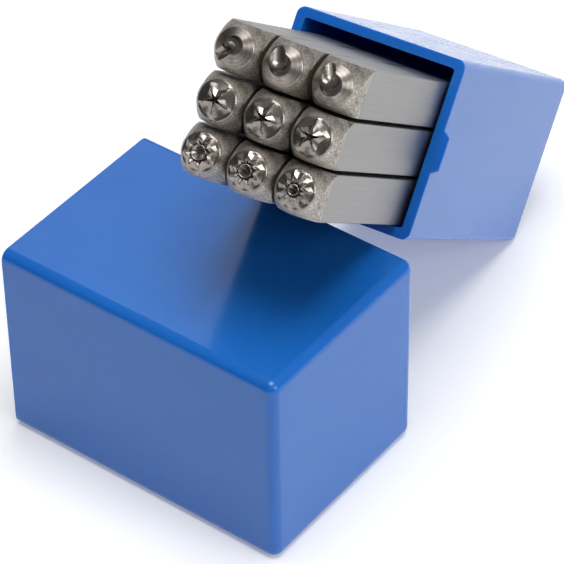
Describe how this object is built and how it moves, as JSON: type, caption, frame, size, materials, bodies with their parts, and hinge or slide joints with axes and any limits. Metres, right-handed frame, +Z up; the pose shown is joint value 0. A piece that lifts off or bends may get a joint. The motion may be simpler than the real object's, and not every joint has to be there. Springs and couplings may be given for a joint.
{
  "type": "leather design stamp set",
  "caption": "Square steel stamps with moon, star and sun faces, standing in the leaning base of a two-piece moulded case beside its lid.",
  "frame": {"origin": "middle of the lid's side face that lies on the surface", "axes": "+Z up, away from the surface; +X along the lid, from its mouth to its closed end; +Y away from the lid towards the foot of the leaning base"},
  "size_m": [0.0448, 0.0874, 0.0679],
  "materials": {
    "case_plastic": "gloss moulded blue",
    "stamp_steel": "ground shank, blasted nose"
  },
  "bodies": {
    "lid": {"case_lid": "case_plastic"},
    "base": {"case_base": "case_plastic"},
    "left_moon": {"left_moon_stamp": "stamp_steel"},
    "middle_moon": {"middle_moon_stamp": "stamp_steel"},
    "right_moon": {"right_moon_stamp": "stamp_steel"},
    "left_star": {"left_star_stamp": "stamp_steel"},
    "middle_star": {"middle_star_stamp": "stamp_steel"},
    "right_star": {"right_star_stamp": "stamp_steel"},
    "left_sun": {"left_sun_stamp": "stamp_steel"},
    "middle_sun": {"middle_sun_stamp": "stamp_steel"},
    "right_sun": {"right_sun_stamp": "stamp_steel"}
  },
  "joints": [
    {"name": "base_lift", "type": "slide", "parent": "lid", "child": "base", "axis": [0, 0, 1], "range_m": [0, 0.06]},
    {"name": "left_moon_draw", "type": "slide", "parent": "base", "child": "left_moon", "axis": [0.144, -0.7769, 0.6129], "range_m": [0, 0.05]},
    {"name": "middle_moon_draw", "type": "slide", "parent": "base", "child": "middle_moon", "axis": [0.144, -0.7769, 0.6129], "range_m": [0, 0.05]},
    {"name": "right_moon_draw", "type": "slide", "parent": "base", "child": "right_moon", "axis": [0.144, -0.7769, 0.6129], "range_m": [0, 0.05]},
    {"name": "left_star_draw", "type": "slide", "parent": "base", "child": "left_star", "axis": [0.144, -0.7769, 0.6129], "range_m": [0, 0.05]},
    {"name": "middle_star_draw", "type": "slide", "parent": "base", "child": "middle_star", "axis": [0.144, -0.7769, 0.6129], "range_m": [0, 0.05]},
    {"name": "right_star_draw", "type": "slide", "parent": "base", "child": "right_star", "axis": [0.144, -0.7769, 0.6129], "range_m": [0, 0.05]},
    {"name": "left_sun_draw", "type": "slide", "parent": "base", "child": "left_sun", "axis": [0.144, -0.7769, 0.6129], "range_m": [0, 0.05]},
    {"name": "middle_sun_draw", "type": "slide", "parent": "base", "child": "middle_sun", "axis": [0.144, -0.7769, 0.6129], "range_m": [0, 0.05]},
    {"name": "right_sun_draw", "type": "slide", "parent": "base", "child": "right_sun", "axis": [0.144, -0.7769, 0.6129], "range_m": [0, 0.05]}
  ]
}
